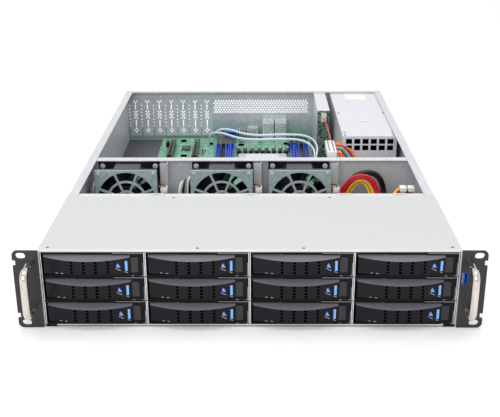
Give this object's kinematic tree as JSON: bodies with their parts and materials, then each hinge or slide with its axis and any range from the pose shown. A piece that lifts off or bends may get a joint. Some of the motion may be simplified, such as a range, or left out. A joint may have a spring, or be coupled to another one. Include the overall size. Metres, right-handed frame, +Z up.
{
  "type": "rack server",
  "caption": "Two-unit rack server, open behind its drive cage: hot-swap drive carriers in front, fans, board bay and slide-out power modules behind.",
  "frame": {"origin": "centre of the four rack ear slots, on the rear face of the ears", "axes": "+X to the right seen from the front, +Y from the front to the back, +Z up"},
  "size_m": [0.4826, 0.7095, 0.088],
  "materials": {
    "chassis_steel": "zinc-plated sheet steel",
    "cover_silver": "satin light grey coat",
    "zinc_steel": "bright zinc-plated sheet",
    "ear_black": "satin black powder coat",
    "handle_chrome": "polished chrome",
    "carrier_black": "fine textured ABS",
    "lever_black": "fine textured ABS with a grey bevel",
    "latch_grey": "moulded plastic, blue latch bar",
    "board_green": "green solder mask",
    "socket_plastic": "blue and black nylon",
    "fan_black": "glass-filled PBT, grey guard",
    "sink_aluminium": "extruded aluminium",
    "port_shell": "stamped nickel-plated shells",
    "screw_black": "black oxide",
    "wire_insulation": "coloured PVC insulation"
  },
  "bodies": {
    "chassis": {"chassis_tray": "chassis_steel", "front_cover": "cover_silver", "rear_panel": "chassis_steel", "slot_covers": "zinc_steel", "rack_ears": "ear_black", "ear_handles": "handle_chrome", "drive_cage": "zinc_steel", "backplane": "board_green", "fan_housings": "fan_black", "fan_wall": "zinc_steel", "motherboard": "board_green", "board_sockets": "socket_plastic", "cpu_socket": "zinc_steel", "heatsinks": "sink_aluminium", "ports": "port_shell", "psu_cage": "zinc_steel", "rear_bay": "zinc_steel", "fasteners": "screw_black", "cable_harness": "wire_insulation"},
    "carrier_c1_r1": {"carrier_c1_r1": "carrier_black"},
    "lever_c1_r1": {"lever_c1_r1": "lever_black"},
    "release_c1_r1": {"release_c1_r1": "latch_grey"},
    "carrier_c1_r2": {"carrier_c1_r2": "carrier_black"},
    "lever_c1_r2": {"lever_c1_r2": "lever_black"},
    "release_c1_r2": {"release_c1_r2": "latch_grey"},
    "carrier_c1_r3": {"carrier_c1_r3": "carrier_black"},
    "lever_c1_r3": {"lever_c1_r3": "lever_black"},
    "release_c1_r3": {"release_c1_r3": "latch_grey"},
    "carrier_c2_r1": {"carrier_c2_r1": "carrier_black"},
    "lever_c2_r1": {"lever_c2_r1": "lever_black"},
    "release_c2_r1": {"release_c2_r1": "latch_grey"},
    "carrier_c2_r2": {"carrier_c2_r2": "carrier_black"},
    "lever_c2_r2": {"lever_c2_r2": "lever_black"},
    "release_c2_r2": {"release_c2_r2": "latch_grey"},
    "carrier_c2_r3": {"carrier_c2_r3": "carrier_black"},
    "lever_c2_r3": {"lever_c2_r3": "lever_black"},
    "release_c2_r3": {"release_c2_r3": "latch_grey"},
    "carrier_c3_r1": {"carrier_c3_r1": "carrier_black"},
    "lever_c3_r1": {"lever_c3_r1": "lever_black"},
    "release_c3_r1": {"release_c3_r1": "latch_grey"},
    "carrier_c3_r2": {"carrier_c3_r2": "carrier_black"},
    "lever_c3_r2": {"lever_c3_r2": "lever_black"},
    "release_c3_r2": {"release_c3_r2": "latch_grey"},
    "carrier_c3_r3": {"carrier_c3_r3": "carrier_black"},
    "lever_c3_r3": {"lever_c3_r3": "lever_black"},
    "release_c3_r3": {"release_c3_r3": "latch_grey"},
    "carrier_c4_r1": {"carrier_c4_r1": "carrier_black"},
    "lever_c4_r1": {"lever_c4_r1": "lever_black"},
    "release_c4_r1": {"release_c4_r1": "latch_grey"},
    "carrier_c4_r2": {"carrier_c4_r2": "carrier_black"},
    "lever_c4_r2": {"lever_c4_r2": "lever_black"},
    "release_c4_r2": {"release_c4_r2": "latch_grey"},
    "carrier_c4_r3": {"carrier_c4_r3": "carrier_black"},
    "lever_c4_r3": {"lever_c4_r3": "lever_black"},
    "release_c4_r3": {"release_c4_r3": "latch_grey"},
    "impeller_1": {"impeller_1": "fan_black"},
    "impeller_2": {"impeller_2": "fan_black"},
    "impeller_3": {"impeller_3": "fan_black"},
    "psu_module_lower": {"psu_module_lower": "zinc_steel"},
    "psu_module_upper": {"psu_module_upper": "zinc_steel"}
  },
  "joints": [
    {"name": "carrier_slide_c1_r1", "type": "slide", "parent": "chassis", "child": "carrier_c1_r1", "axis": [0, -1, 0], "range_m": [0, 0.165]},
    {"name": "lever_hinge_c1_r1", "type": "hinge", "parent": "carrier_c1_r1", "child": "lever_c1_r1", "pos_m": [-0.207, 0.0022, -0.0275], "axis": [0, 0, -1], "range_deg": [0, 55]},
    {"name": "release_press_c1_r1", "type": "slide", "parent": "carrier_c1_r1", "child": "release_c1_r1", "axis": [0, 1, 0], "range_m": [0, 0.002], "stiffness_N_per_m": 400},
    {"name": "carrier_slide_c1_r2", "type": "slide", "parent": "chassis", "child": "carrier_c1_r2", "axis": [0, -1, 0], "range_m": [0, 0.165]},
    {"name": "lever_hinge_c1_r2", "type": "hinge", "parent": "carrier_c1_r2", "child": "lever_c1_r2", "pos_m": [-0.207, 0.0022, 0], "axis": [0, 0, -1], "range_deg": [0, 55]},
    {"name": "release_press_c1_r2", "type": "slide", "parent": "carrier_c1_r2", "child": "release_c1_r2", "axis": [0, 1, 0], "range_m": [0, 0.002], "stiffness_N_per_m": 400},
    {"name": "carrier_slide_c1_r3", "type": "slide", "parent": "chassis", "child": "carrier_c1_r3", "axis": [0, -1, 0], "range_m": [0, 0.165]},
    {"name": "lever_hinge_c1_r3", "type": "hinge", "parent": "carrier_c1_r3", "child": "lever_c1_r3", "pos_m": [-0.207, 0.0022, 0.0275], "axis": [0, 0, -1], "range_deg": [0, 55]},
    {"name": "release_press_c1_r3", "type": "slide", "parent": "carrier_c1_r3", "child": "release_c1_r3", "axis": [0, 1, 0], "range_m": [0, 0.002], "stiffness_N_per_m": 400},
    {"name": "carrier_slide_c2_r1", "type": "slide", "parent": "chassis", "child": "carrier_c2_r1", "axis": [0, -1, 0], "range_m": [0, 0.165]},
    {"name": "lever_hinge_c2_r1", "type": "hinge", "parent": "carrier_c2_r1", "child": "lever_c2_r1", "pos_m": [-0.10035, 0.0022, -0.0275], "axis": [0, 0, -1], "range_deg": [0, 55]},
    {"name": "release_press_c2_r1", "type": "slide", "parent": "carrier_c2_r1", "child": "release_c2_r1", "axis": [0, 1, 0], "range_m": [0, 0.002], "stiffness_N_per_m": 400},
    {"name": "carrier_slide_c2_r2", "type": "slide", "parent": "chassis", "child": "carrier_c2_r2", "axis": [0, -1, 0], "range_m": [0, 0.165]},
    {"name": "lever_hinge_c2_r2", "type": "hinge", "parent": "carrier_c2_r2", "child": "lever_c2_r2", "pos_m": [-0.10035, 0.0022, 0], "axis": [0, 0, -1], "range_deg": [0, 55]},
    {"name": "release_press_c2_r2", "type": "slide", "parent": "carrier_c2_r2", "child": "release_c2_r2", "axis": [0, 1, 0], "range_m": [0, 0.002], "stiffness_N_per_m": 400},
    {"name": "carrier_slide_c2_r3", "type": "slide", "parent": "chassis", "child": "carrier_c2_r3", "axis": [0, -1, 0], "range_m": [0, 0.165]},
    {"name": "lever_hinge_c2_r3", "type": "hinge", "parent": "carrier_c2_r3", "child": "lever_c2_r3", "pos_m": [-0.10035, 0.0022, 0.0275], "axis": [0, 0, -1], "range_deg": [0, 55]},
    {"name": "release_press_c2_r3", "type": "slide", "parent": "carrier_c2_r3", "child": "release_c2_r3", "axis": [0, 1, 0], "range_m": [0, 0.002], "stiffness_N_per_m": 400},
    {"name": "carrier_slide_c3_r1", "type": "slide", "parent": "chassis", "child": "carrier_c3_r1", "axis": [0, -1, 0], "range_m": [0, 0.165]},
    {"name": "lever_hinge_c3_r1", "type": "hinge", "parent": "carrier_c3_r1", "child": "lever_c3_r1", "pos_m": [0.0063, 0.0022, -0.0275], "axis": [0, 0, -1], "range_deg": [0, 55]},
    {"name": "release_press_c3_r1", "type": "slide", "parent": "carrier_c3_r1", "child": "release_c3_r1", "axis": [0, 1, 0], "range_m": [0, 0.002], "stiffness_N_per_m": 400},
    {"name": "carrier_slide_c3_r2", "type": "slide", "parent": "chassis", "child": "carrier_c3_r2", "axis": [0, -1, 0], "range_m": [0, 0.165]},
    {"name": "lever_hinge_c3_r2", "type": "hinge", "parent": "carrier_c3_r2", "child": "lever_c3_r2", "pos_m": [0.0063, 0.0022, 0], "axis": [0, 0, -1], "range_deg": [0, 55]},
    {"name": "release_press_c3_r2", "type": "slide", "parent": "carrier_c3_r2", "child": "release_c3_r2", "axis": [0, 1, 0], "range_m": [0, 0.002], "stiffness_N_per_m": 400},
    {"name": "carrier_slide_c3_r3", "type": "slide", "parent": "chassis", "child": "carrier_c3_r3", "axis": [0, -1, 0], "range_m": [0, 0.165]},
    {"name": "lever_hinge_c3_r3", "type": "hinge", "parent": "carrier_c3_r3", "child": "lever_c3_r3", "pos_m": [0.0063, 0.0022, 0.0275], "axis": [0, 0, -1], "range_deg": [0, 55]},
    {"name": "release_press_c3_r3", "type": "slide", "parent": "carrier_c3_r3", "child": "release_c3_r3", "axis": [0, 1, 0], "range_m": [0, 0.002], "stiffness_N_per_m": 400},
    {"name": "carrier_slide_c4_r1", "type": "slide", "parent": "chassis", "child": "carrier_c4_r1", "axis": [0, -1, 0], "range_m": [0, 0.165]},
    {"name": "lever_hinge_c4_r1", "type": "hinge", "parent": "carrier_c4_r1", "child": "lever_c4_r1", "pos_m": [0.11295, 0.0022, -0.0275], "axis": [0, 0, -1], "range_deg": [0, 55]},
    {"name": "release_press_c4_r1", "type": "slide", "parent": "carrier_c4_r1", "child": "release_c4_r1", "axis": [0, 1, 0], "range_m": [0, 0.002], "stiffness_N_per_m": 400},
    {"name": "carrier_slide_c4_r2", "type": "slide", "parent": "chassis", "child": "carrier_c4_r2", "axis": [0, -1, 0], "range_m": [0, 0.165]},
    {"name": "lever_hinge_c4_r2", "type": "hinge", "parent": "carrier_c4_r2", "child": "lever_c4_r2", "pos_m": [0.11295, 0.0022, 0], "axis": [0, 0, -1], "range_deg": [0, 55]},
    {"name": "release_press_c4_r2", "type": "slide", "parent": "carrier_c4_r2", "child": "release_c4_r2", "axis": [0, 1, 0], "range_m": [0, 0.002], "stiffness_N_per_m": 400},
    {"name": "carrier_slide_c4_r3", "type": "slide", "parent": "chassis", "child": "carrier_c4_r3", "axis": [0, -1, 0], "range_m": [0, 0.165]},
    {"name": "lever_hinge_c4_r3", "type": "hinge", "parent": "carrier_c4_r3", "child": "lever_c4_r3", "pos_m": [0.11295, 0.0022, 0.0275], "axis": [0, 0, -1], "range_deg": [0, 55]},
    {"name": "release_press_c4_r3", "type": "slide", "parent": "carrier_c4_r3", "child": "release_c4_r3", "axis": [0, 1, 0], "range_m": [0, 0.002], "stiffness_N_per_m": 400},
    {"name": "fan_spin_1", "type": "hinge", "parent": "chassis", "child": "impeller_1", "pos_m": [-0.1613, 0.274, 0.0005], "axis": [0, 1, 0], "continuous": true},
    {"name": "fan_spin_2", "type": "hinge", "parent": "chassis", "child": "impeller_2", "pos_m": [-0.0384, 0.274, 0.0005], "axis": [0, 1, 0], "continuous": true},
    {"name": "fan_spin_3", "type": "hinge", "parent": "chassis", "child": "impeller_3", "pos_m": [0.062, 0.274, 0.0005], "axis": [0, 1, 0], "continuous": true},
    {"name": "psu_slide_lower", "type": "slide", "parent": "chassis", "child": "psu_module_lower", "axis": [0, 1, 0], "range_m": [0, 0.195]},
    {"name": "psu_slide_upper", "type": "slide", "parent": "chassis", "child": "psu_module_upper", "axis": [0, 1, 0], "range_m": [0, 0.195]}
  ]
}
